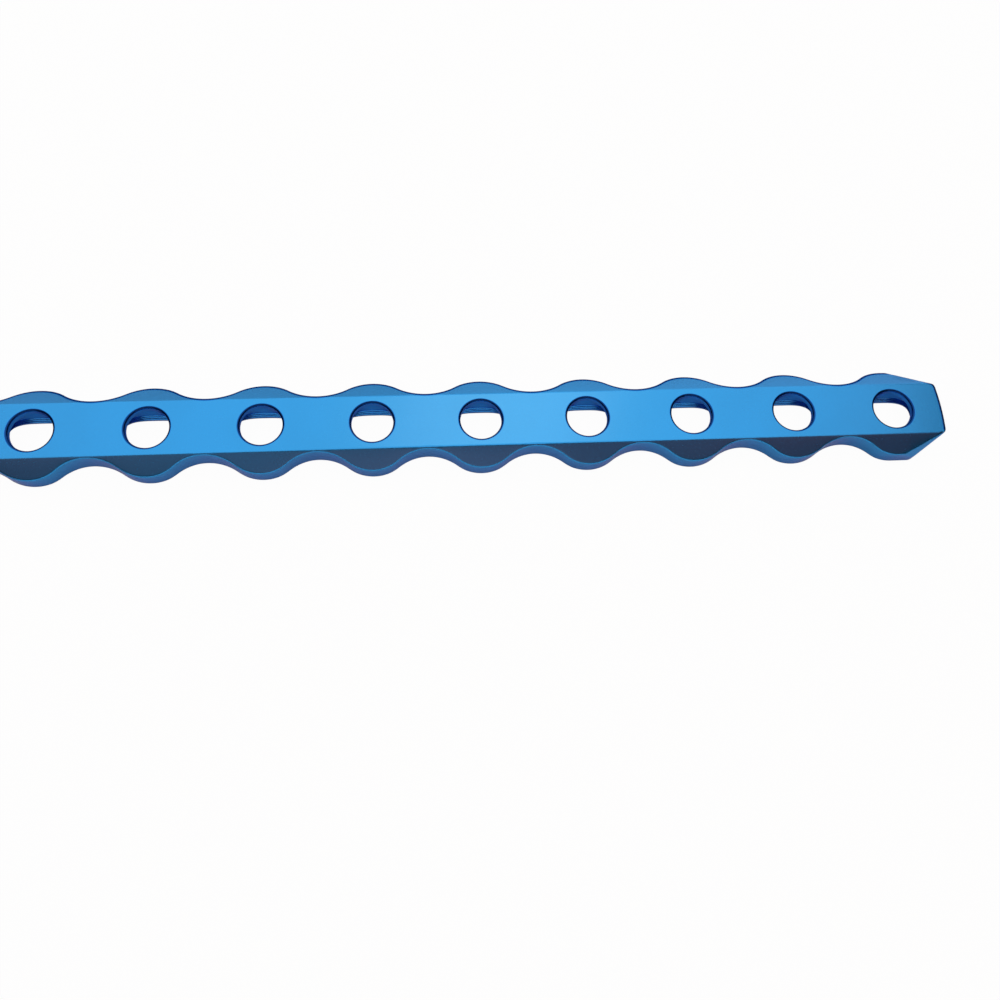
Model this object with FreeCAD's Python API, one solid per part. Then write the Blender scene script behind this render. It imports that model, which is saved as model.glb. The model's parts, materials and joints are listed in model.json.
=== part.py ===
import FreeCAD, Part
import math
import os

from FreeCAD import Vector

# Straight bone plate with scalloped edges, machined from one bar of titanium.
# Millimetres. X runs along the plate, Z is up, the bone side is down.
# The origin is under the middle of the plate, at the level its lowest edges rest on.

HOLE_COUNT = 10
HOLE_PITCH = 12.0

# Plan outline
BULGE_HALF_WIDTH = 5.3
WAIST_HALF_WIDTH = 3.35
BULGE_SHARE = 0.46
END_OVERHANG = 5.72
END_FLAT_REACH = 2.3
END_HALF_WIDTH = 3.0
END_CORNER_RADIUS = 0.8
END_CROWN = 0.17

# Cross-section
EDGE_THICKNESS = 3.05
STRIP_HALF_WIDTH = 3.2
FACET_SLOPE = 29.0
STRIP_EDGE_RADIUS = 0.25
BONE_RADIUS = 30.0

# Bay of the bone side between two screw holes
BAY_DEPTH = 0.57
BAY_MARGIN = 1.6

# Bevel of the last bulges towards the ends
BEVEL_START = 0.65
BEVEL_DROP = 0.95

# Screw hole
BORE_RADIUS = 2.42
RIM_BREAK = 0.22
BORE_LAND = 0.45
SLOT_STEP = 0.06
SLOT_STEP_STRAIGHT = 0.3
SLOT_HALF_WIDTH = 2.02
SLOT_HALF_LENGTH = 3.45

TOOL_MARGIN = 5.0
BAR_MARGIN = 1.0
WEDGE_REACH = 36.0
SAME_PLACE = 0.01

last_hole_x = (HOLE_COUNT - 1) * HOLE_PITCH / 2
half_length = last_hole_x + END_OVERHANG
hole_places = [index * HOLE_PITCH - last_hole_x for index in range(HOLE_COUNT)]
facet_angle = math.radians(FACET_SLOPE)


def hollow_depth(half_width):
    """Depth of the bone side's hollow arc over a chord of this half width."""
    return BONE_RADIUS - math.sqrt(BONE_RADIUS ** 2 - half_width ** 2)


crown_z = hollow_depth(BULGE_HALF_WIDTH)
bulge_edge_z = EDGE_THICKNESS - (BULGE_HALF_WIDTH - STRIP_HALF_WIDTH) * math.tan(facet_angle)


def prism(wire, direction):
    """Solid swept by a flat closed wire along a direction."""
    return Part.Face(wire).extrude(direction)


def arc(start, middle, end):
    """Circular edge through three points."""
    return Part.Arc(start, middle, end).toShape()


def plan_side(sign):
    """Edges of one long side, from the left end to the right end; sign is 1 on +Y."""
    swing = BULGE_HALF_WIDTH - WAIST_HALF_WIDTH
    both_radii = ((HOLE_PITCH / 2) ** 2 + swing ** 2) / (2 * swing)
    bulge_radius = both_radii * BULGE_SHARE
    join_x = HOLE_PITCH / 2 * BULGE_SHARE
    angle = math.asin(join_x / bulge_radius)
    join_y = BULGE_HALF_WIDTH - bulge_radius * (1 - math.cos(angle))
    half_x = bulge_radius * math.sin(angle / 2)
    half_y = BULGE_HALF_WIDTH - bulge_radius * (1 - math.cos(angle / 2))

    def at(x, y):
        return Vector(x, sign * y, 0)

    first, last = hole_places[0], hole_places[-1]
    edges = [
        Part.makeLine(at(-half_length, END_HALF_WIDTH), at(first - END_FLAT_REACH, BULGE_HALF_WIDTH)),
        Part.makeLine(at(first - END_FLAT_REACH, BULGE_HALF_WIDTH), at(first, BULGE_HALF_WIDTH)),
        arc(at(first, BULGE_HALF_WIDTH), at(first + half_x, half_y), at(first + join_x, join_y)),
    ]
    for left, right in zip(hole_places, hole_places[1:]):
        middle = (left + right) / 2
        edges.append(arc(at(left + join_x, join_y), at(middle, WAIST_HALF_WIDTH), at(right - join_x, join_y)))
        if right < last:
            edges.append(arc(at(right - join_x, join_y), at(right, BULGE_HALF_WIDTH), at(right + join_x, join_y)))
    edges.append(arc(at(last - join_x, join_y), at(last - half_x, half_y), at(last, BULGE_HALF_WIDTH)))
    edges.append(Part.makeLine(at(last, BULGE_HALF_WIDTH), at(last + END_FLAT_REACH, BULGE_HALF_WIDTH)))
    edges.append(
        Part.makeLine(at(last + END_FLAT_REACH, BULGE_HALF_WIDTH), at(half_length, END_HALF_WIDTH))
    )
    return edges


def plan_wire():
    """Outline seen from above: two scalloped sides and two slightly crowned ends."""
    ends = []
    for side in (-1, 1):
        tip = side * half_length
        ends.append(
            arc(
                Vector(tip, -END_HALF_WIDTH, 0),
                Vector(tip + side * END_CROWN, 0, 0),
                Vector(tip, END_HALF_WIDTH, 0),
            )
        )
    return Part.Wire(Part.__sortEdges__(plan_side(1) + plan_side(-1) + ends))


def strip_edge(sign):
    """Start, middle and end of the small arc between the flat strip and one facet."""
    centre_y = STRIP_HALF_WIDTH - STRIP_EDGE_RADIUS * math.tan(facet_angle / 2)
    centre_z = EDGE_THICKNESS - STRIP_EDGE_RADIUS
    return [
        Vector(
            0,
            sign * (centre_y + STRIP_EDGE_RADIUS * math.sin(turn)),
            centre_z + STRIP_EDGE_RADIUS * math.cos(turn),
        )
        for turn in (0, facet_angle / 2, facet_angle)
    ]


def section_wire():
    """Outline across the plate: flat strip, two sloping facets, hollow bone side."""
    reach = BULGE_HALF_WIDTH + BAR_MARGIN
    facet_z = EDGE_THICKNESS - (reach - STRIP_HALF_WIDTH) * math.tan(facet_angle)
    bone_z = crown_z - hollow_depth(reach)
    edges = [arc(Vector(0, -reach, bone_z), Vector(0, 0, crown_z), Vector(0, reach, bone_z))]
    near, far = strip_edge(-1), strip_edge(1)
    edges.append(Part.makeLine(near[0], far[0]))
    for sign, rounding in ((-1, near), (1, far)):
        edges.append(arc(*rounding))
        edges.append(Part.makeLine(rounding[2], Vector(0, sign * reach, facet_z)))
        edges.append(Part.makeLine(Vector(0, sign * reach, facet_z), Vector(0, sign * reach, bone_z)))
    return Part.Wire(Part.__sortEdges__(edges))


def is_end_corner(edge):
    """True for the four upright edges where the tapers meet the end faces."""
    ends = [vertex.Point for vertex in edge.Vertexes]
    if len(ends) < 2 or (ends[0] - ends[1]).Length < EDGE_THICKNESS:
        return False
    return all(
        abs(abs(point.x) - half_length) < SAME_PLACE and abs(abs(point.y) - END_HALF_WIDTH) < SAME_PLACE
        for point in ends
    )


def blank():
    """Bar with the cross-section, trimmed to the scalloped outline."""
    section = section_wire()
    length = half_length + TOOL_MARGIN
    section.translate(Vector(-length, 0, 0))
    bar = prism(section, Vector(2 * length, 0, 0))
    outline = plan_wire()
    outline.translate(Vector(0, 0, -TOOL_MARGIN))
    column = prism(outline, Vector(0, 0, EDGE_THICKNESS + 2 * TOOL_MARGIN))
    column = column.makeFillet(END_CORNER_RADIUS, [edge for edge in column.Edges if is_end_corner(edge)])
    return bar.common(column)


def bay_cutter(middle):
    """Shallow arch across the bone side, half way between two holes."""
    chord = HOLE_PITCH / 2 - BAY_MARGIN
    radius = (chord ** 2 + BAY_DEPTH ** 2) / (2 * BAY_DEPTH)
    width = 2 * (BULGE_HALF_WIDTH + TOOL_MARGIN)
    return Part.makeCylinder(
        radius, width, Vector(middle, -width / 2, BAY_DEPTH - radius), Vector(0, 1, 0)
    )


def bevel_cutter(end, side):
    """Wedge above the bevel that runs from the last bulge to the end corner."""
    tip = Vector(half_length, END_HALF_WIDTH, EDGE_THICKNESS)
    high = Vector(last_hole_x + BEVEL_START, BULGE_HALF_WIDTH, bulge_edge_z)
    low = Vector(last_hole_x + END_FLAT_REACH, BULGE_HALF_WIDTH, bulge_edge_z - BEVEL_DROP)
    normal = (high - tip).cross(low - tip)
    normal.normalize()
    if normal.y < 0:
        normal = normal * -1
    along = (high - tip).normalize()
    across = normal.cross(along)
    middle = (tip + high) * 0.5
    corners = [
        middle + along * (a * WEDGE_REACH) + across * (b * WEDGE_REACH)
        for a, b in ((-1, -1), (1, -1), (1, 1), (-1, 1))
    ]
    wedge = prism(Part.makePolygon(corners + corners[:1]), normal * WEDGE_REACH)
    if end < 0:
        wedge = wedge.mirror(Vector(0, 0, 0), Vector(1, 0, 0))
    if side < 0:
        wedge = wedge.mirror(Vector(0, 0, 0), Vector(0, 1, 0))
    return wedge


def slot_wire(half_straight, radius, z):
    """Slot outline along X at height z."""
    return Part.Wire(
        [
            Part.makeLine(Vector(-half_straight, -radius, z), Vector(half_straight, -radius, z)),
            arc(
                Vector(half_straight, -radius, z),
                Vector(half_straight + radius, 0, z),
                Vector(half_straight, radius, z),
            ),
            Part.makeLine(Vector(half_straight, radius, z), Vector(-half_straight, radius, z)),
            arc(
                Vector(-half_straight, radius, z),
                Vector(-half_straight - radius, 0, z),
                Vector(-half_straight, -radius, z),
            ),
        ]
    )


def hole_cutter(x):
    """Round bore; below its land it widens along the plate, so a screw can lean."""
    land_z = EDGE_THICKNESS - RIM_BREAK - BORE_LAND
    high_radius = BORE_RADIUS + SLOT_STEP
    stretch = land_z / (land_z - crown_z)
    low_radius = high_radius + (SLOT_HALF_WIDTH - high_radius) * stretch
    low_straight = SLOT_STEP_STRAIGHT + (SLOT_HALF_LENGTH - SLOT_HALF_WIDTH - SLOT_STEP_STRAIGHT) * stretch
    bore = Part.makeCylinder(BORE_RADIUS, EDGE_THICKNESS - land_z + TOOL_MARGIN, Vector(0, 0, land_z))
    slot = Part.makeLoft(
        [slot_wire(SLOT_STEP_STRAIGHT, high_radius, land_z), slot_wire(low_straight, low_radius, 0)], True, True
    )
    cutter = bore.fuse(slot)
    cutter.translate(Vector(x, 0, 0))
    return cutter


def is_hole_rim(edge):
    """True for the circles where the bores meet the flat strip."""
    return (
        isinstance(edge.Curve, Part.Circle)
        and abs(edge.Curve.Radius - BORE_RADIUS) < SAME_PLACE
        and abs(edge.Vertexes[0].Z - EDGE_THICKNESS) < SAME_PLACE
    )


def bone_plate():
    """The whole plate: blank less bays, end bevels and screw holes, whose rims are broken."""
    body = blank()
    middles = [(left + right) / 2 for left, right in zip(hole_places, hole_places[1:])]
    cutters = [bay_cutter(middle) for middle in middles]
    cutters += [bevel_cutter(end, side) for end in (-1, 1) for side in (-1, 1)]
    cutters += [hole_cutter(x) for x in hole_places]
    for cutter in cutters:
        body = body.cut(cutter)
    return body.makeChamfer(RIM_BREAK, [edge for edge in body.Edges if is_hole_rim(edge)])


os.makedirs("parts", exist_ok=True)
bone_plate().exportStep("parts/bone_plate.step")
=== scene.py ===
import json
import logging
import math
from dataclasses import dataclass, field
from enum import Enum
from typing import Any, Sequence

import bpy
import numpy as np
from mathutils import Matrix, Vector


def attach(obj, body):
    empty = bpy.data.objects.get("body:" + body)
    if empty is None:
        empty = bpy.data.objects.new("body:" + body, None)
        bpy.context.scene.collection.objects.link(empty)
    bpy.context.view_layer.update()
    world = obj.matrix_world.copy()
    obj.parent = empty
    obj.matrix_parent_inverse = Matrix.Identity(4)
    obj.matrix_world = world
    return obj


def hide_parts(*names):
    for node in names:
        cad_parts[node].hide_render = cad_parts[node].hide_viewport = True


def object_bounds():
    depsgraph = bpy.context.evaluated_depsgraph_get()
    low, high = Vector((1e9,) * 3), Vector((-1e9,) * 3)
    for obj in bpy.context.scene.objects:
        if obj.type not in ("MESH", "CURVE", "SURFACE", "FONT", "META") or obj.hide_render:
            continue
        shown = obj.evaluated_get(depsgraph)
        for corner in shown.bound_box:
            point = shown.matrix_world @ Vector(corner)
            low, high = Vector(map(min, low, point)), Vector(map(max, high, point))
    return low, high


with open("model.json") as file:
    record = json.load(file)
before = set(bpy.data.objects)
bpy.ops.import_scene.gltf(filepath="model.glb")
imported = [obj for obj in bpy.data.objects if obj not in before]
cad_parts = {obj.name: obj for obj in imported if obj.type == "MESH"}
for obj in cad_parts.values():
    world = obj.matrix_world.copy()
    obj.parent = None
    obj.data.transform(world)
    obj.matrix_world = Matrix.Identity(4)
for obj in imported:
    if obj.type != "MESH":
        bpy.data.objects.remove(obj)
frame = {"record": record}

# Straight bone plate of blue anodised titanium with scalloped edges and a row of screw holes.
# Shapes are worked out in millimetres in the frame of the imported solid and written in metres.

LOG = logging.getLogger("bone_plate")
MM = 0.001
TINY = 1e-6

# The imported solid's box in metres, and its upper corner and screw holes in millimetres.
CAD_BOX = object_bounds()
HIGH = np.array(CAD_BOX[1]) / MM
HOLE_PLACES = np.array([mount["pos_m"][0] for mount in frame["record"]["mounts"]]) / MM

# Painted shade at each vertex, read by the finish from an attribute of this name: painted shade in
# the bores, painted dark lines on the rounded edges, and less of it on the thread's crests.
TONE = "painted_shade_tone"
PLAIN_TONE = 0.0
BORE_PAINTED_SHADE = 1.0
EDGE_PAINTED_SHADE = 2.0

# Colour sockets of the Mix node: its two inputs and its output.
MIX_A = 6
MIX_B = 7
MIX_RESULT = 2


def smooth_min(first: np.ndarray, second: np.ndarray, width: float) -> np.ndarray:
    """Lower of two heights, with the crease between them rounded.

    Where the heights differ by less than the width, the lower one loses a quarter of the width
    times the square of the share by which they are closer than the width.

    Args:
        first: Heights of one surface.
        second: Heights of the other surface.
        width: Difference of height over which the crease is rounded.

    Returns:
        Heights of the rounded lower surface.
    """
    share = np.maximum(width - np.abs(first - second), 0.0) / width
    return np.minimum(first, second) - share**2 * width / 4


def smooth_max(first: np.ndarray, second: np.ndarray, width: float) -> np.ndarray:
    """Upper of two heights, rounded as smooth_min rounds the lower one."""
    return -smooth_min(-first, -second, width)


def between(start: np.ndarray, end: np.ndarray, shares: np.ndarray) -> np.ndarray:
    """Rows of points on the straight lines from each start to each end.

    Args:
        start: Points, one for each column.
        end: Points, one for each column.
        shares: Share of the way, one for each row.

    Returns:
        Array of rows by columns by coordinates.
    """
    return start + shares.reshape(-1, *([1] * start.ndim)) * (end - start)


def corner_arc(
    before: np.ndarray, corner: np.ndarray, after: np.ndarray, radius: float, count: int
) -> np.ndarray:
    """Arc that rounds a corner between two straight lines.

    The arc's centre lies on the bisector of the corner, one radius from both lines, and its points
    turn evenly from the first tangent point to the last.

    Args:
        before: Point on the line that comes in.
        corner: The sharp corner.
        after: Point on the line that goes out.
        radius: Radius of the arc.
        count: Number of points.

    Returns:
        The arc's points, tangent points included.
    """
    back = (before - corner) / np.linalg.norm(before - corner)
    ahead = (after - corner) / np.linalg.norm(after - corner)
    half = math.acos(float(back @ ahead)) / 2
    bisector = (back + ahead) / np.linalg.norm(back + ahead)
    centre = corner + bisector * radius / math.sin(half)
    start = corner + back * radius / math.tan(half) - centre
    side = np.sign(back[0] * ahead[1] - back[1] * ahead[0])
    angles = np.linspace(0.0, -side * (math.pi - 2 * half), count)
    across = np.array([-start[1], start[0]])
    return centre + np.outer(np.cos(angles), start) + np.outer(np.sin(angles), across)


@dataclass
class MeshSheets:
    """Grids of points that are gathered and sewn into one closed mesh."""

    points: list[np.ndarray] = field(default_factory=list)
    quads: list[np.ndarray] = field(default_factory=list)
    tones: list[np.ndarray] = field(default_factory=list)
    count: int = 0

    def add(self, grid: np.ndarray, closed: bool, tone: np.ndarray | float = PLAIN_TONE) -> None:
        """Adds one grid of points with a quad between each four neighbours.

        Args:
            grid: Rows by columns by coordinates, in millimetres.
            closed: True where the last column joins the first.
            tone: Painted shade: one number, rows by one, or rows by columns.
        """
        rows, columns = grid.shape[:2]
        self.tones.append(np.broadcast_to(tone, (rows, columns)).reshape(-1))
        index = np.arange(rows * columns).reshape(rows, columns) + self.count
        if closed:
            index = np.concatenate([index, index[:, :1]], axis=1)
        quads = np.stack([index[:-1, :-1], index[:-1, 1:], index[1:, 1:], index[1:, :-1]], axis=-1)
        self.points.append(grid.reshape(-1, 3))
        self.quads.append(quads.reshape(-1, 4))
        self.count += rows * columns

    def sewn(self, name: str, tolerance: float) -> bpy.types.Mesh:
        """Joins points that coincide and returns the mesh, in metres.

        Points are rounded to the tolerance and equal ones become one vertex; quads that lose a
        corner by it become triangles or vanish.

        Args:
            name: Name of the mesh.
            tolerance: Distance under which points are the same, in millimetres.

        Returns:
            The closed mesh with its faces outwards.
        """
        points = np.concatenate(self.points)
        quads = np.concatenate(self.quads)
        keys = np.round(points / tolerance).astype(np.int64)
        _, first, same = np.unique(keys, axis=0, return_index=True, return_inverse=True)
        quads = same.reshape(-1)[quads]
        distinct = quads != np.roll(quads, -1, axis=1)
        corners = distinct.sum(axis=1)
        whole = quads[corners == 4].tolist()
        halves = quads[corners == 3][distinct[corners == 3]].reshape(-1, 3).tolist()
        mesh = bpy.data.meshes.new(name)
        mesh.from_pydata((points[first] * MM).tolist(), [], whole + halves)
        tone = mesh.attributes.new(TONE, "FLOAT", "POINT")
        tone.data.foreach_set("value", np.concatenate(self.tones)[first].astype(np.float32))
        mesh.validate()
        return mesh


@dataclass(frozen=True)
class PlateOutline:
    """Outline of the plate seen from above, and the lines that run inside it.

    Half widths of the bulges and waists follow two tangent arcs for each half pitch. Behind the
    last holes the sides run straight, then taper to a slightly crowned end.
    """

    waist: float = 3.35
    bulge_share: float = 0.46
    end_overhang: float = 5.72
    end_flat: float = 2.3
    end_half_width: float = 3.0
    end_corner_radius: float = 0.8
    flank_corner_radius: float = 1.2
    end_crown: float = 0.17
    inner_line: float = 2.95
    end_inset: float = 0.45
    stations_per_pitch: int = 48
    straight_points: int = 8
    flank_points: int = 7
    taper_points: int = 18
    corner_points: int = 11
    crown_points: int = 12

    @property
    def bulge(self) -> float:
        """Half width at the screw holes, which is the solid's own."""
        return float(HIGH[1])

    @property
    def last_hole(self) -> float:
        """Place of the last hole along X."""
        return float(HOLE_PLACES.max())

    @property
    def pitch(self) -> float:
        """Distance between neighbouring screw holes."""
        return float(HOLE_PLACES[1] - HOLE_PLACES[0])

    @property
    def half_length(self) -> float:
        """Place of the end corners along X."""
        return self.last_hole + self.end_overhang

    def half_width(self, x: np.ndarray) -> np.ndarray:
        """Half width between the last holes.

        The bulge's arc has its top at the hole and the waist's arc its bottom half way; both radii
        together are (half pitch squared plus swing squared) over twice the swing, and the bulge
        takes its share of them and of the half pitch.

        Args:
            x: Places along the plate.

        Returns:
            Half widths.
        """
        half_pitch = self.pitch / 2
        swing = self.bulge - self.waist
        radii = (half_pitch**2 + swing**2) / (2 * swing)
        bulge_radius = radii * self.bulge_share
        waist_radius = radii - bulge_radius
        offset = np.abs((x - self.last_hole + half_pitch) % self.pitch - half_pitch)
        top = self.bulge - bulge_radius + np.sqrt(np.maximum(bulge_radius**2 - offset**2, 0.0))
        rest = half_pitch - offset
        bottom = self.waist + waist_radius - np.sqrt(np.maximum(waist_radius**2 - rest**2, 0.0))
        return np.where(offset < half_pitch * self.bulge_share, top, bottom)

    def end_chain(self) -> tuple[np.ndarray, np.ndarray]:
        """Stations of the right end's near quarter, from the last hole's side to the middle.

        The end is an arc through both end corners, and its radius is (half width squared plus crown
        squared) over twice the crown. Along the side, the inner line's stations stand at the same
        shares of its length as the outline's do.

        Returns:
            Points on the outline, and the matching points of the inner line.
        """
        side = np.array([self.last_hole, -self.bulge])
        flank = np.array([self.last_hole + self.end_flat, -self.bulge])
        corner = np.array([self.half_length, -self.end_half_width])
        radius = (self.end_half_width**2 + self.end_crown**2) / (2 * self.end_crown)
        reach = self.half_length + self.end_crown
        along_end = corner + np.array([self.end_half_width / radius, 1.0])
        flank_arc = corner_arc(side, flank, corner, self.flank_corner_radius, self.flank_points)
        end_arc = corner_arc(flank, corner, along_end, self.end_corner_radius, self.corner_points)
        straight = between(side, flank_arc[0], np.linspace(0, 1, self.straight_points))[:-1]
        taper = between(flank_arc[-1], end_arc[0], np.linspace(0, 1, self.taper_points))[1:-1]
        crown_y = np.linspace(end_arc[-1, 1], 0.0, self.crown_points)[1:]
        crown_x = reach - radius + np.sqrt(radius**2 - crown_y**2)
        crown = np.stack([crown_x, crown_y], axis=1)
        outline = np.concatenate([straight, flank_arc, taper, end_arc, crown])
        turned = np.concatenate([end_arc, crown])
        normals = outward(turned, closed=False)
        inset = turned - normals * self.end_inset
        inset[-1] = (turned[-1, 0] - self.end_inset, 0.0)
        sides = len(straight) + len(flank_arc) + len(taper)
        run = np.linalg.norm(np.diff(outline[: sides + 1], axis=0), axis=1).cumsum()
        share = (np.concatenate([[0.0], run[:-1]]) / run[-1])[:, None]
        start = np.array([self.last_hole, -self.inner_line])
        inner = np.concatenate([start + share * (inset[0] - start), inset])
        return outline, inner

    def loops(self) -> tuple[np.ndarray, np.ndarray, int]:
        """Whole outline and inner line as closed loops, counter-clockwise from the left end's middle.

        The near side is the mirrored end chain, the scalloped side and the end chain, and the far
        side is its mirror image.

        Returns:
            Outline points, inner points, and the number of stations on one side, ends included.
        """
        end, end_inner = self.end_chain()
        steps = int(round(2 * self.last_hole / self.pitch)) * self.stations_per_pitch
        x = np.linspace(-self.last_hole, self.last_hole, steps + 1)
        side = np.stack([x, -self.half_width(x)], axis=1)
        side_inner = np.stack([x, np.full_like(x, -self.inner_line)], axis=1)
        mirrored = np.array([-1.0, 1.0])
        near = np.concatenate([(end * mirrored)[::-1], side[1:-1], end])
        near_inner = np.concatenate([(end_inner * mirrored)[::-1], side_inner[1:-1], end_inner])
        flipped = np.array([1.0, -1.0])
        outline = np.concatenate([near, (near * flipped)[-2:0:-1]])
        inner = np.concatenate([near_inner, (near_inner * flipped)[-2:0:-1]])
        return outline, inner, len(near)


def outward(points: np.ndarray, closed: bool) -> np.ndarray:
    """Unit normals to the right of a run of points, from the chord between each point's neighbours.

    Args:
        points: Points in plan.
        closed: True where the last point joins the first.

    Returns:
        Normals in plan.
    """
    if closed:
        chord = np.roll(points, -1, axis=0) - np.roll(points, 1, axis=0)
    else:
        chord = np.gradient(points, axis=0)
    normal = np.stack([chord[:, 1], -chord[:, 0]], axis=1)
    return normal / np.linalg.norm(normal, axis=1, keepdims=True)


@dataclass(frozen=True)
class PlateSurfaces:
    """Heights of the top and of the bone side over the plan."""

    outline: PlateOutline
    strip: float = 3.13
    facet_slope: float = math.radians(29.0)
    strip_rounding: float = 0.072
    bevel_start: float = 0.65
    bevel_drop: float = 0.95
    bevel_rounding: float = 0.06
    bone_radius: float = 30.0
    bay_depth: float = 0.57
    bay_margin: float = 1.6
    bay_rounding: float = 0.05

    @property
    def top(self) -> float:
        """Height of the flat strip, which is the solid's own."""
        return float(HIGH[2])

    def facet(self, y: np.ndarray) -> np.ndarray:
        """Height of the facet: the strip's, less the way past its edge times the slope."""
        return self.top - (np.abs(y) - self.strip) * math.tan(self.facet_slope)

    def bevel(self, x: np.ndarray, y: np.ndarray) -> np.ndarray:
        """Height of the end bevel's plane.

        The plane passes through the end corner and through two points at the last bulge's edge, one
        level with the facet and one lower by the bevel's drop. Its height is one constant times the
        way along, plus one times the way across, plus a third.

        Args:
            x: Places along the plate.
            y: Places across it.

        Returns:
            Heights of the plane.
        """
        last, bulge = self.outline.last_hole, self.outline.bulge
        edge = float(self.facet(np.array(bulge)))
        corners = np.array(
            [
                [self.outline.half_length, self.outline.end_half_width, 1.0],
                [last + self.bevel_start, bulge, 1.0],
                [last + self.outline.end_flat, bulge, 1.0],
            ]
        )
        heights = np.array([self.top, edge, edge - self.bevel_drop])
        along, across, base = np.linalg.solve(corners, heights)
        return along * np.abs(x) + across * np.abs(y) + base

    def top_height(self, x: np.ndarray, y: np.ndarray) -> np.ndarray:
        """Height of the top: the lowest of strip, facet and end bevel, with rounded creases."""
        sides = smooth_min(self.facet(y), self.bevel(x, y), self.bevel_rounding)
        return smooth_min(np.full_like(sides, self.top), sides, self.strip_rounding)

    def bone_height(self, x: np.ndarray, y: np.ndarray) -> np.ndarray:
        """Height of the bone side: the higher of the hollow along the plate and the bays across it.

        The hollow is an arc across the plate that meets zero at the bulges' width. Each bay is an
        arch along the plate, highest half way between two holes.

        Args:
            x: Places along the plate.
            y: Places across it.

        Returns:
            Heights above the level that the plate rests on.
        """
        radius, bulge, pitch = self.bone_radius, self.outline.bulge, self.outline.pitch
        hollow = np.sqrt(radius**2 - y**2) - math.sqrt(radius**2 - bulge**2)
        last_bay = self.outline.last_hole - pitch / 2
        bay = np.clip(np.round((x - last_bay) / pitch) * pitch + last_bay, -last_bay, last_bay)
        chord = pitch / 2 - self.bay_margin
        arch_radius = (chord**2 + self.bay_depth**2) / (2 * self.bay_depth)
        arch = self.bay_depth - arch_radius + np.sqrt(np.maximum(arch_radius**2 - (x - bay) ** 2, 0.0))
        return smooth_max(hollow, arch, self.bay_rounding)


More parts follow.
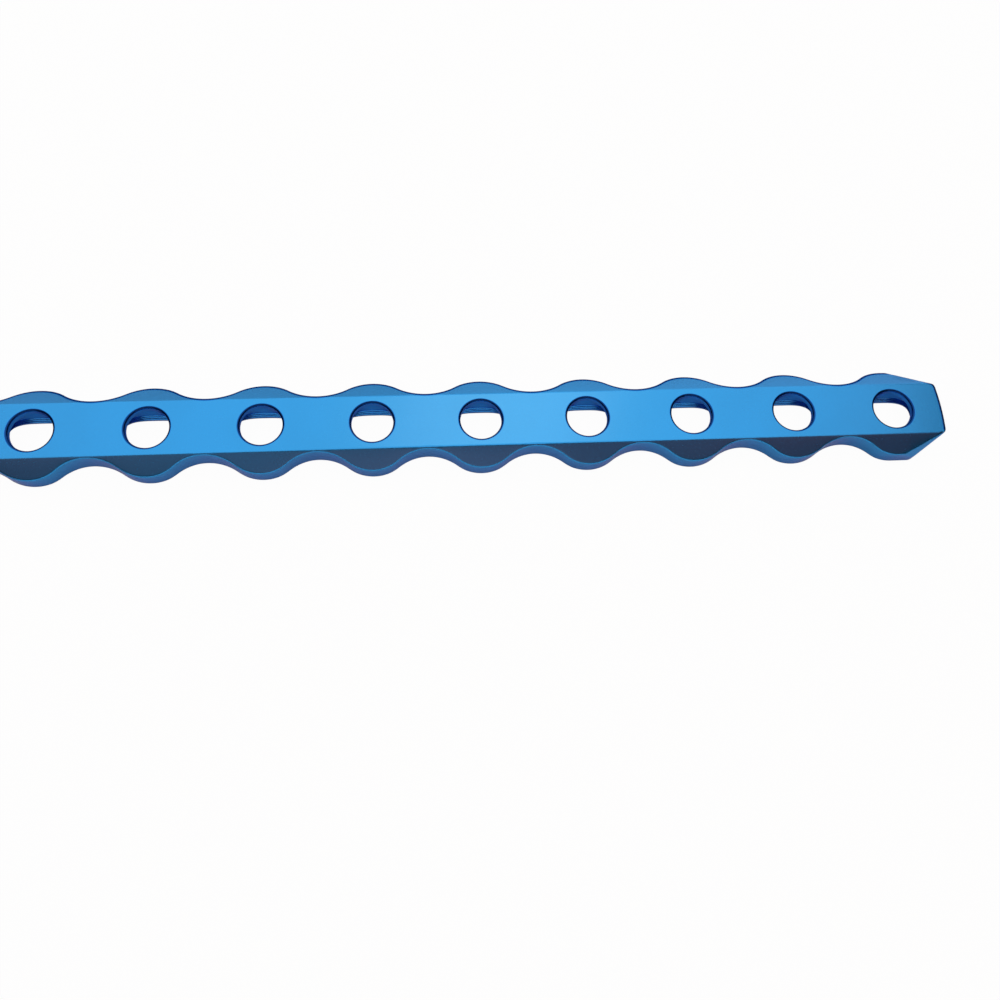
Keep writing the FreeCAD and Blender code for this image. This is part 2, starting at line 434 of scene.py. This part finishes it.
@dataclass(frozen=True)
class ScrewHole:
    """Wall of one screw hole: rounded rim, bore, then a slot that widens along the plate.

    The halves are half lengths and half widths of the slot. Its second row lies at slot_start, a
    share of the way down, so that the corner under the bore stays sharp. A thin thread runs round
    the slot's lower part.
    """

    bore: float = 2.3
    rim_rounding: float = 0.26
    rim_rows: int = 10
    land_depth: float = 0.67
    slot_half: tuple[float, float] = (2.66, 2.38)
    exit_half: tuple[float, float] = (3.44, 1.98)
    exit_squareness: float = 3.2
    slot_start: float = 0.04
    thread_count: int = 3
    thread_pitch: float = 0.3
    thread_height: float = 0.08
    thread_end: float = 0.07
    thread_ledge: float = 0.1
    # Share of the bore's painted shade on the thread's crests, which leaves them paler as painted
    # highlights.
    thread_crest_painted_shade: float = 0.3

    def round_part(self, top: float) -> np.ndarray:
        """Profile of the rim and of the bore below it.

        The rim is a quarter circle that is tangent to the strip and to the bore.

        Args:
            top: Height of the strip.

        Returns:
            Radius and height, from the strip down to the end of the bore.
        """
        turns = np.radians(np.linspace(0.0, 90.0, self.rim_rows))
        radii = self.bore + self.rim_rounding * (1 - np.sin(turns))
        heights = top - self.rim_rounding * (1 - np.cos(turns))
        rim = np.stack([radii, heights], axis=1)
        return np.concatenate([rim, [[self.bore, top - self.land_depth]]])

    def thread(self, depth: np.ndarray) -> np.ndarray:
        """How far the fine thread stands in from the slot's wall at a depth above its exit.

        Over each pitch the ridge rises evenly up to a short ledge near the pitch's top, and falls
        evenly over the ledge. Below the thread's end and past its last turn the wall is plain.

        Args:
            depth: Heights above the exit.

        Returns:
            Distances from the slot's wall.
        """
        turn = (depth - self.thread_end) / self.thread_pitch
        share = turn % 1.0
        ridge = np.minimum(share / (1.0 - self.thread_ledge), (1.0 - share) / self.thread_ledge)
        inside = (turn > 0.0) & (turn < self.thread_count)
        return np.where(inside, ridge * self.thread_height, 0.0)

    def tones(self, before: int) -> np.ndarray:
        """Painted shade of each row: dark line on the rim's middle, shade in the bore, less on thread
        crests.

        Args:
            before: Number of the flat's rows, the last of which is the rim's first.

        Returns:
            Tones, one for each row.
        """
        flat = np.full(before - 1, PLAIN_TONE)
        # The rim's middle rows get the painted dark line, its first and last rows the bore's painted
        # shade.
        rim = np.full(self.rim_rows, EDGE_PAINTED_SHADE)
        rim[[0, -3, -2, -1]] = BORE_PAINTED_SHADE
        bore_end_and_slot_start = np.full(3, BORE_PAINTED_SHADE)
        thread_and_exit = np.full(2 * self.thread_count + 2, BORE_PAINTED_SHADE)
        # Paler crests: a painted highlight on the real thread's ridges.
        thread_and_exit[1:-1:2] = self.thread_crest_painted_shade
        return np.concatenate([flat, rim, bore_end_and_slot_start, thread_and_exit])

    def slot_ring(
        self, angles: np.ndarray, share: np.ndarray | float, inset: np.ndarray | float
    ) -> np.ndarray:
        """Points of the slot's wall in plan.

        The ring is a superellipse: in each direction its reach is one over the n-th root of the sum
        of the n-th powers of cosine and sine, scaled by the half length and half width. The power n
        grows from two at the bore to the exit's squareness.

        Args:
            angles: Angle of each column about the hole's middle.
            share: Share of the way from the bore to the exit: one number, or rows by one.
            inset: Distance that the wall stands in: one number, or rows by one.

        Returns:
            Columns by two coordinates, or rows by columns by two.
        """
        power = 2.0 + (self.exit_squareness - 2.0) * share
        cosine, sine = np.cos(angles), np.sin(angles)
        reach = (np.abs(cosine) ** power + np.abs(sine) ** power) ** (-1.0 / power)
        length, width = (
            start + (end - start) * share - inset for start, end in zip(self.slot_half, self.exit_half)
        )
        return np.stack([length * reach * cosine, width * reach * sine], axis=-1)

    def wall(self, place: float, angles: np.ndarray, surfaces: PlateSurfaces) -> np.ndarray:
        """Grid of the whole wall, from the strip down to the bone side.

        The upper rows are the round profile turned about the hole's axis. The lower rows are rings
        of the slot, whose heights run from the bore's end to the bone side in their shares of the way.

        Args:
            place: The hole's place along X.
            angles: Angle of each column about the hole's middle.
            surfaces: Heights of the plate's two sides.

        Returns:
            Rows by columns by coordinates.
        """
        profile = self.round_part(surfaces.top)
        ring = np.stack([np.cos(angles), np.sin(angles)], axis=-1)
        upper = np.empty((len(profile), len(angles), 3))
        upper[..., :2] = profile[:, None, :1] * ring
        upper[..., 2] = profile[:, 1:]
        land_z = float(profile[-1, 1])
        exit_ring = self.slot_ring(angles, 1.0, 0.0)
        exit_z = surfaces.bone_height(exit_ring[:, 0] + place, exit_ring[:, 1])
        slot_depth = land_z - float(exit_z.mean())
        feet = np.arange(self.thread_count + 1)
        crests = np.arange(self.thread_count) + 1.0 - self.thread_ledge
        ridges = self.thread_end + np.sort(np.concatenate([feet, crests])) * self.thread_pitch
        depths = np.concatenate([[0.0], ridges])[::-1]
        shares = np.concatenate([[0.0, self.slot_start], 1.0 - depths / slot_depth])[:, None]
        lower = np.empty((len(shares), len(angles), 3))
        lower[..., :2] = self.slot_ring(angles, shares, self.thread((1.0 - shares) * slot_depth))
        lower[..., 2] = land_z + (exit_z - land_z) * shares
        wall = np.concatenate([upper, lower])
        wall[..., 0] += place
        return wall


class Light(Enum):
    """Jobs of the studio's soft boxes."""

    OVERHEAD = "overhead_softbox"
    MIDDLE = "middle_softbox"
    FAR_LEFT = "far_left_softbox"
    FAR_RIGHT = "far_right_softbox"
    NEAR_LEFT = "near_left_softbox"
    NEAR_RIGHT = "near_right_softbox"
    FRONT = "front_softbox"
    LEFT_END = "left_end_softbox"
    RIGHT_END = "right_end_softbox"


def linear(code: str) -> tuple[float, float, float, float]:
    """Linear colour of an sRGB hex code.

    Each channel c is c over 12.92 below 0.04045 and ((c + 0.055) over 1.055) to the power 2.4 above.

    Args:
        code: Colour as #RRGGBB.

    Returns:
        Red, green, blue and alpha.
    """
    parts = [int(code[place : place + 2], 16) / 255 for place in (1, 3, 5)]
    red, green, blue = (c / 12.92 if c <= 0.04045 else ((c + 0.055) / 1.055) ** 2.4 for c in parts)
    return red, green, blue, 1.0


def add_node(
    tree: bpy.types.NodeTree, kind: str, settings: dict[str, Any], inputs: dict[Any, Any]
) -> Any:
    """Adds one node with its settings and its inputs.

    Args:
        tree: Node tree that takes the node.
        kind: Blender's name of the node's type.
        settings: Attributes to set on the node.
        inputs: For each input, by name or number, a value or the output that feeds it.

    Returns:
        The node.
    """
    node = tree.nodes.new(kind)
    for name, value in settings.items():
        setattr(node, name, value)
    for key, value in inputs.items():
        if isinstance(value, bpy.types.NodeSocket):
            tree.links.new(value, node.inputs[key])
        else:
            node.inputs[key].default_value = value
    return node


def new_tree(material: bpy.types.Material) -> bpy.types.NodeTree:
    """Switches a material to nodes and clears them.

    Args:
        material: The material.

    Returns:
        Its empty node tree.
    """
    material.use_nodes = True
    material.node_tree.nodes.clear()
    return material.node_tree


@dataclass(frozen=True)
class BlueAnodisedTitanium:
    """Titanium alloy, bead blasted and anodised to an interference blue.

    The blasting gives a fine satin grain, and the oxide's thickness varies slightly over the part,
    which the eye sees as faint lighter and deeper clouds in the blue. The oxide lies on the metal as
    a thin clear coat. The bores are painted a deeper blue with half the coat, painted shade for the
    darkness inside the holes, and the thread's crests get less of it, as painted highlights. The
    rounded edges are painted a dark blue without the coat, a painted dark reflection that shows as
    thin dark lines.
    """

    name: str = "blue_anodised_titanium"
    blue: str = "#1994DA"
    deep_blue: str = "#1790D4"
    # Painted shade: the bores' deeper blue stands for the darkness inside the holes.
    painted_bore_shade_blue: str = "#1A80D6"
    # Painted dark reflection: dark blue on the rounded edges, for the dark they mirror.
    painted_edge_shade_blue: str = "#143E7C"
    grazing_tint: str = "#7FB8FF"
    roughness: float = 0.26
    grain_mm: float = 0.22
    grain_detail: float = 3.0
    grain_softness: float = 0.6
    grain_span: tuple[float, float] = (0.3, 0.7)
    grain_depth: float = 0.0008
    grain_roughness: float = 0.015
    cloud_mm: float = 9.0
    cloud_detail: float = 2.0
    cloud_softness: float = 0.5
    cloud_span: tuple[float, float] = (0.35, 0.65)
    oxide_share: float = 0.75
    # No coat on the rounded edges, so the painted dark line there stays dark.
    edge_oxide_share: float = 0.0
    oxide_roughness: float = 0.18

    def build(self) -> bpy.types.Material:
        """Makes the material: clouded colour, satin roughness and blasted grain.

        Returns:
            The material.
        """
        material = bpy.data.materials.new(self.name)
        tree = new_tree(material)
        place = add_node(tree, "ShaderNodeTexCoord", {}, {}).outputs["Object"]
        clouds = add_node(
            tree,
            "ShaderNodeTexNoise",
            {},
            {
                "Vector": place,
                "Scale": 1 / (self.cloud_mm * MM),
                "Detail": self.cloud_detail,
                "Roughness": self.cloud_softness,
            },
        )
        # Blasted grain of about 0.05 mm is drawn four times as coarse, so that it shows in the render.
        grain = add_node(
            tree,
            "ShaderNodeTexNoise",
            {},
            {
                "Vector": place,
                "Scale": 1 / (self.grain_mm * MM),
                "Detail": self.grain_detail,
                "Roughness": self.grain_softness,
            },
        )
        share = add_node(
            tree,
            "ShaderNodeMapRange",
            {},
            {
                "Value": clouds.outputs["Fac"],
                "From Min": self.cloud_span[0],
                "From Max": self.cloud_span[1],
            },
        )
        tone = add_node(tree, "ShaderNodeAttribute", {"attribute_name": TONE}, {}).outputs["Fac"]
        # Share of the painted dark line, from the bores' tone up to the edges'.
        painted_line_share = add_node(
            tree,
            "ShaderNodeMapRange",
            {},
            {"Value": tone, "From Min": BORE_PAINTED_SHADE, "From Max": EDGE_PAINTED_SHADE},
        )
        # Clouds of the oxide, then the bores' painted shade, then the edges' painted dark line.
        layers = (
            (share.outputs["Result"], self.blue),
            (tone, self.painted_bore_shade_blue),
            (painted_line_share.outputs["Result"], self.painted_edge_shade_blue),
        )
        colour = linear(self.deep_blue)
        for factor, shade in layers:
            mix = add_node(
                tree,
                "ShaderNodeMix",
                {"data_type": "RGBA"},
                {"Factor": factor, MIX_A: colour, MIX_B: linear(shade)},
            )
            colour = mix.outputs[MIX_RESULT]
        # Less coat in the bores and none on the rounded edges, which darkens the painted shade and the
        # painted dark lines.
        cover = add_node(
            tree,
            "ShaderNodeMapRange",
            {},
            {
                "Value": tone,
                "From Max": EDGE_PAINTED_SHADE,
                "To Min": self.oxide_share,
                "To Max": self.edge_oxide_share,
            },
        )
        satin = add_node(
            tree,
            "ShaderNodeMapRange",
            {},
            {
                "Value": grain.outputs["Fac"],
                "From Min": self.grain_span[0],
                "From Max": self.grain_span[1],
                "To Min": self.roughness - self.grain_roughness,
                "To Max": self.roughness + self.grain_roughness,
            },
        )
        bump = add_node(
            tree,
            "ShaderNodeBump",
            {},
            {"Height": grain.outputs["Fac"], "Strength": 1.0, "Distance": self.grain_depth * MM},
        )
        shader = add_node(
            tree,
            "ShaderNodeBsdfPrincipled",
            {},
            {
                "Base Color": colour,
                "Metallic": 1.0,
                "Roughness": satin.outputs["Result"],
                "Specular Tint": linear(self.grazing_tint),
                "Coat Weight": cover.outputs["Result"],
                "Coat Roughness": self.oxide_roughness,
                "Coat Normal": bump.outputs["Normal"],
            },
        )
        add_node(tree, "ShaderNodeOutputMaterial", {}, {"Surface": shader.outputs[0]})
        return material


@dataclass(frozen=True)
class MattPaper:
    """Matt white paper sweep: white to the camera, dim in the metal, and with the plate's shadow."""

    name: str = "matt_white_paper"
    paper: str = "#F4F4F4"
    glow: float = 0.97
    mirrored_glow: float = 0.06

    def build(self) -> bpy.types.Material:
        """Makes the material: a diffuse surface, and mostly plain white where the camera sees it.

        Returns:
            The material.
        """
        material = bpy.data.materials.new(self.name)
        tree = new_tree(material)
        path = add_node(tree, "ShaderNodeLightPath", {}, {})
        seen = add_node(
            tree,
            "ShaderNodeMath",
            {"operation": "MAXIMUM"},
            {0: path.outputs["Is Camera Ray"], 1: path.outputs["Is Transmission Ray"]},
        )
        seen = add_node(
            tree, "ShaderNodeMath", {"operation": "MULTIPLY"}, {0: seen.outputs[0], 1: self.glow}
        )
        share = add_node(
            tree,
            "ShaderNodeMath",
            {"operation": "MULTIPLY_ADD"},
            {0: path.outputs["Is Glossy Ray"], 1: self.mirrored_glow, 2: seen.outputs[0]},
        )
        paper = add_node(tree, "ShaderNodeBsdfDiffuse", {}, {"Color": linear(self.paper)})
        white = add_node(tree, "ShaderNodeEmission", {}, {"Strength": 1.0})
        mixed = add_node(
            tree,
            "ShaderNodeMixShader",
            {},
            {0: share.outputs[0], 1: paper.outputs[0], 2: white.outputs[0]},
        )
        add_node(tree, "ShaderNodeOutputMaterial", {}, {"Surface": mixed.outputs[0]})
        return material


@dataclass
class BonePlate:
    """The bone plate in one piece: strip, facets, end bevels, walls, hollow bone side and holes."""

    name: str = "bone_plate_shell"
    surfaces: PlateSurfaces = field(default_factory=lambda: PlateSurfaces(PlateOutline()))
    hole: ScrewHole = field(default_factory=ScrewHole)
    top_edge: float = 0.11
    bone_edge: float = 0.08
    crease_half: float = 0.13
    crease_points: int = 7
    spare_crease: float = 0.4
    spare_level: float = 0.7
    edge_line: float = 0.14
    near_facing: float = -0.5
    edge_turns: tuple[float, ...] = (90.0, 68.0, 45.0, 22.0, 0.0)
    wall_shares: tuple[float, ...] = (0.5, 0.95)
    flat_shares: tuple[float, ...] = (1.0, 0.4, 0.12, 0.015, 0.0)
    bone_shares: tuple[float, ...] = (0.0, 0.04, 0.15, 0.3, 0.45, 0.6, 0.75, 0.88, 1.0)
    line_points: int = 9
    sew_distance: float = 0.0005
    sharp_angle: float = math.radians(32.0)
    normal_weight: int = 60

    def top_points(self, plan: np.ndarray) -> np.ndarray:
        """Lifts plan points onto the top."""
        height = self.surfaces.top_height(plan[..., 0], plan[..., 1])
        return np.concatenate([plan, height[..., None]], axis=-1)

    def bone_points(self, plan: np.ndarray) -> np.ndarray:
        """Lifts plan points onto the bone side."""
        height = self.surfaces.bone_height(plan[..., 0], plan[..., 1])
        return np.concatenate([plan, height[..., None]], axis=-1)

    def crease_rows(self, inner: np.ndarray, rim: np.ndarray) -> np.ndarray:
        """Rows of the top between the inner line and the edge, closer together at the creases.

        On each line from inside to the edge, one crease is where it passes the strip's edge and the
        other where facet and bevel are level. The share of the way to each is its distance or gap at
        the inner line over the whole change from line to edge, and a line without such a crease takes
        a spare share. Rows lie at both creases and just beside them. The last three stand apart by the
        edge line's width, so that the painted dark line on the rounded edge is as wide everywhere.

        Args:
            inner: Points of the inner line.
            rim: Points where the edge's rounding starts.

        Returns:
            Rows by columns by coordinates, from inside out.
        """
        length = np.linalg.norm(rim - inner, axis=1)
        inner_y, rim_y = np.abs(inner[:, 1]), np.abs(rim[:, 1])
        strip = (self.surfaces.strip - inner_y) / np.maximum(rim_y - inner_y, TINY) * length
        strip = np.where((rim_y > self.surfaces.strip) & (strip > 0), strip, self.spare_crease * length)
        gap_in = self.surfaces.facet(inner[:, 1]) - self.surfaces.bevel(inner[:, 0], inner[:, 1])
        gap_out = self.surfaces.facet(rim[:, 1]) - self.surfaces.bevel(rim[:, 0], rim[:, 1])
        crossing = (gap_in < 0) & (gap_out > 0)
        level = gap_in / np.where(crossing, gap_in - gap_out, 1.0) * length
        level = np.where(crossing, level, strip + self.spare_level * (length - strip))
        half = np.linspace(-1.0, 1.0, self.crease_points)[:, None] * self.crease_half
        wide = np.array([-1.0, 0.0, 1.0])[:, None] * self.crease_half
        last = length + np.array([-2.0, -1.0, 0.0])[:, None] * self.edge_line
        within = np.concatenate([np.zeros((1, len(length))), strip + half, level + wide])
        distances = np.concatenate([np.sort(np.clip(within, 0.0, last[0]), axis=0), last])
        plan = inner + (distances / length)[..., None] * (rim - inner)
        return self.top_points(plan)

    def build(self) -> bpy.types.Object:
        """Builds the whole plate as one closed mesh.

        Each edge is a quarter circle: at each turn it stands in by the radius times (one minus the
        cosine), and down or up by the radius times (one minus the sine). The rounded edges carry a
        painted dark line, painted shade for the dark they mirror, except where the top edge faces the
        near side.

        Returns:
            The plate's object, at the origin.
        """
        outline, inner, side = self.surfaces.outline.loops()
        normal = outward(outline, closed=True)
        sheets = MeshSheets()
        turns = np.radians(self.edge_turns)
        top_plan = outline - self.top_edge * (1 - np.cos(turns))[:, None, None] * normal
        top_rows = self.top_points(top_plan)
        top_rows[..., 2] -= self.top_edge * (1 - np.sin(turns))[:, None]
        bone_plan = outline - self.bone_edge * (1 - np.cos(turns[::-1]))[:, None, None] * normal
        bone_rows = self.bone_points(bone_plan)
        bone_rows[..., 2] += self.bone_edge * (1 - np.sin(turns[::-1]))[:, None]
        wall = between(top_rows[-1], bone_rows[0], np.array(self.wall_shares))
        crease = self.crease_rows(inner, top_plan[0])
        rows = np.concatenate([crease, top_rows[1:], wall, bone_rows])
        tone = np.full(rows.shape[:2], PLAIN_TONE)
        # Painted dark line on the top edge's rounding, a painted dark reflection, left off where it
        # faces the near side; the bone side's edges get it everywhere.
        dark = np.where(normal[:, 1] > self.near_facing, EDGE_PAINTED_SHADE, PLAIN_TONE)
        tone[len(crease) - 2 : len(crease) + len(top_rows) - 1] = dark
        tone[-len(bone_rows) :] = EDGE_PAINTED_SHADE
        sheets.add(rows[::-1], closed=True, tone=tone[::-1])
        foot = bone_plan[-1]
        for place in HOLE_PLACES:
            self.add_cell(sheets, float(place), inner, foot, side)
        mesh = sheets.sewn(self.name, self.sew_distance)
        plate = bpy.data.objects.new(self.name, mesh)
        bpy.context.scene.collection.objects.link(plate)
        self.shade(plate)
        return plate

    def cell_loop(self, line: np.ndarray, place: float, side: int) -> np.ndarray:
        """Border of the area round one hole, counter-clockwise, on a closed line of the plan.

        The area ends at the waists on both sides of the hole, or at the plate's end. Across each
        waist the border runs straight.

        Args:
            line: Closed line with one point for each station.
            place: The hole's place along X.
            side: Number of stations on one side.

        Returns:
            Points of the border in plan.
        """
        half = self.surfaces.outline.pitch / 2
        near_x = line[:side, 0]
        last = self.surfaces.outline.last_hole
        left = 0 if place < half - last else int(np.argmin(np.abs(near_x - (place - half))))
        right = side - 1 if place > last - half else int(np.argmin(np.abs(near_x - (place + half))))
        run = np.arange(left, right + 1)
        far = (2 * (side - 1) - run) % len(line)
        shares = np.linspace(0.0, 1.0, self.line_points)[1:-1, None]
        pieces = [line[run]]
        if right < side - 1:
            pieces.append(line[run[-1]] + shares * (line[far[-1]] - line[run[-1]]))
            pieces.append(line[far[::-1]])
        else:
            pieces.append(line[far[-2::-1]])
        if left > 0:
            pieces.append(line[far[0]] + shares * (line[run[0]] - line[far[0]]))
        else:
            pieces[-1] = pieces[-1][:-1]
        return np.concatenate(pieces)

    def add_cell(
        self, sheets: MeshSheets, place: float, inner: np.ndarray, foot: np.ndarray, side: int
    ) -> None:
        """Adds the flat round one hole, the hole's wall and the bone side round it.

        The flat and the bone side are straight lines in plan from the wall to the cell's border.

        Args:
            sheets: Grids of the plate.
            place: The hole's place along X.
            inner: Closed inner line of the top.
            foot: Closed line where the bone side's edge rounding ends.
            side: Number of stations on one side.
        """
        border = self.cell_loop(inner, place, side)
        bone_border = self.cell_loop(foot, place, side)
        angles = np.arctan2(border[:, 1], border[:, 0] - place)
        wall = self.hole.wall(place, angles, self.surfaces)
        flat = self.top_points(between(wall[0, :, :2], border, np.array(self.flat_shares)))
        # Painted shade of each row of the flat, the rim and the hole's wall.
        tone = self.hole.tones(len(flat))[:, None]
        sheets.add(np.concatenate([flat, wall[1:]]), closed=True, tone=tone)
        bone = self.bone_points(between(wall[-1, :, :2], bone_border, np.array(self.bone_shares)))
        sheets.add(bone, closed=True)

    def shade(self, plate: bpy.types.Object) -> None:
        """Shades the plate smooth over its rounded edges, with normals led by the large faces.

        Args:
            plate: The plate's object.
        """
        mesh = plate.data
        mesh.polygons.foreach_set("use_smooth", np.ones(len(mesh.polygons), bool))
        mesh.set_sharp_from_angle(angle=self.sharp_angle)
        weighted = plate.modifiers.new("edge_normals", "WEIGHTED_NORMAL")
        weighted.keep_sharp = True
        weighted.weight = self.normal_weight

    def dress(self, plate: bpy.types.Object) -> None:
        """Gives the plate its finish and its place in the frame.

        Args:
            plate: The plate's object.
        """
        plate.data.materials.append(BlueAnodisedTitanium().build())
        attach(plate, "root")
        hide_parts("bone_plate")


@dataclass(frozen=True)
class SoftBox:
    """One soft box: it hangs at a distance from the plate's middle and faces it."""

    job: Light
    azimuth: float
    tilt: float
    distance: float
    width: float
    height: float
    strength: float
    colour: str = "#FFFFFF"

    def build(self) -> bpy.types.Object:
        """Hangs the lamp.

        The azimuth is counted from +Y towards +X and the tilt from straight up, in degrees. Sizes
        are in millimetres. The strength is the lamp's radiance, and its power is the radiance times
        pi times its area.

        Returns:
            The lamp's object.
        """
        turn, lean = math.radians(self.azimuth), math.radians(self.tilt)
        aim = Vector((math.sin(turn) * math.sin(lean), math.cos(turn) * math.sin(lean), math.cos(lean)))
        data = bpy.data.lights.new(self.job.value, "AREA")
        data.shape = "RECTANGLE"
        data.size, data.size_y = self.width * MM, self.height * MM
        data.color = linear(self.colour)[:3]
        data.energy = self.strength * math.pi * data.size * data.size_y
        lamp = bpy.data.objects.new(self.job.value, data)
        lamp.location = aim * self.distance * MM
        lamp.rotation_mode = "QUATERNION"
        lamp.rotation_quaternion = aim.to_track_quat("Z", "Y")
        bpy.context.scene.collection.objects.link(lamp)
        return lamp


@dataclass(frozen=True)
class Studio:
    """Pale floor, plain world, soft boxes and the camera at the photograph's angle.

    The overhead box and a small warm one light the strip, the far boxes the far facets, and the
    front box the near walls. The near and end boxes are reddish, and their mirror image gives the
    dark near facets their purple cast.
    """

    floor_size: float = 4000.0
    world_level: float = 0.085
    sensor: float = 36.0
    clip: tuple[float, float] = (1.0, 20000.0)
    focal: float = 30.046
    eye: tuple[float, float, float] = (-0.34, -38.96, 87.42)
    aim: tuple[float, float, float] = (7.515, -9.594, 3.05)
    roll: float = 12.19
    # Job, azimuth, tilt, distance, width, height, strength and colour of each box.
    boxes: Sequence[SoftBox] = (
        SoftBox(Light.OVERHEAD, 0.0, 22.0, 400.0, 640.0, 620.0, 1.06),
        SoftBox(Light.MIDDLE, 14.0, 27.0, 380.0, 120.0, 120.0, 1.35, "#FFA070"),
        SoftBox(Light.FAR_LEFT, -22.0, 75.0, 400.0, 320.0, 190.0, 0.63),
        SoftBox(Light.FAR_RIGHT, 22.0, 75.0, 400.0, 320.0, 190.0, 0.79),
        SoftBox(Light.NEAR_LEFT, 31.0, -36.0, 414.0, 550.0, 110.0, 0.57, "#FF9088"),
        SoftBox(Light.NEAR_RIGHT, -31.0, -36.0, 414.0, 550.0, 110.0, 0.56, "#FF5850"),
        SoftBox(Light.FRONT, 0.0, -72.0, 400.0, 640.0, 170.0, 0.9),
        SoftBox(Light.LEFT_END, 46.6, -46.3, 414.0, 90.0, 90.0, 0.33, "#FF1808"),
        SoftBox(Light.RIGHT_END, -46.0, -46.8, 414.0, 120.0, 90.0, 0.36, "#FF1808"),
    )

    def build_floor(self) -> bpy.types.Object:
        """Lays the floor under the plate.

        Returns:
            The floor's object.
        """
        half = self.floor_size / 2 * MM
        corners = [(-half, -half, 0.0), (half, -half, 0.0), (half, half, 0.0), (-half, half, 0.0)]
        mesh = bpy.data.meshes.new("studio_floor")
        mesh.from_pydata(corners, [], [(0, 1, 2, 3)])
        floor = bpy.data.objects.new("studio_floor", mesh)
        bpy.context.scene.collection.objects.link(floor)
        floor.data.materials.append(MattPaper().build())
        return floor

    def build_world(self) -> None:
        """Sets the world: a plain grey for light, and white where the camera sees it."""
        world = bpy.data.worlds.new("studio_world")
        world.use_nodes = True
        tree = world.node_tree
        tree.nodes.clear()
        path = add_node(tree, "ShaderNodeLightPath", {}, {})
        plain = add_node(tree, "ShaderNodeBackground", {}, {"Strength": self.world_level})
        white = add_node(
            tree, "ShaderNodeBackground", {}, {"Color": (1.0, 1.0, 1.0, 1.0), "Strength": 1.0}
        )
        mixed = add_node(
            tree,
            "ShaderNodeMixShader",
            {},
            {0: path.outputs["Is Camera Ray"], 1: plain.outputs[0], 2: white.outputs[0]},
        )
        add_node(tree, "ShaderNodeOutputWorld", {}, {"Surface": mixed.outputs[0]})
        bpy.context.scene.world = world

    def build_camera(self) -> None:
        """Sets the camera at the photograph's place, turned about its own axis."""
        data = bpy.data.cameras.new("studio_camera")
        data.sensor_width = self.sensor
        data.lens = self.focal
        data.clip_start, data.clip_end = (distance * MM for distance in self.clip)
        eye, aim = Vector(self.eye) * MM, Vector(self.aim) * MM
        back = (eye - aim).normalized()
        right = Vector((0.0, 0.0, 1.0)).cross(back).normalized()
        turned = Matrix.Rotation(math.radians(self.roll), 3, back) @ right
        up = back.cross(turned)
        rotation = Matrix((turned, up, back)).transposed()
        camera = bpy.data.objects.new("studio_camera", data)
        camera.matrix_world = Matrix.Translation(eye) @ rotation.to_4x4()
        bpy.context.scene.collection.objects.link(camera)
        bpy.context.scene.camera = camera

    def build(self) -> None:
        """Builds floor, world, lamps and camera."""
        self.build_floor()
        self.build_world()
        for box in self.boxes:
            box.build()
        self.build_camera()
        bpy.context.scene.view_settings.view_transform = "Standard"


def main() -> None:
    """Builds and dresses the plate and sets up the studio."""
    logging.basicConfig(level=logging.INFO, format="%(name)s: %(message)s")
    maker = BonePlate()
    plate = maker.build()
    mesh = plate.data
    LOG.info("%s: %d vertices, %d faces", plate.name, len(mesh.vertices), len(mesh.polygons))
    maker.dress(plate)
    studio = Studio()
    studio.build()
    LOG.info("studio: floor, world, %d soft boxes and camera", len(studio.boxes))


if __name__ == "__main__":
    main()
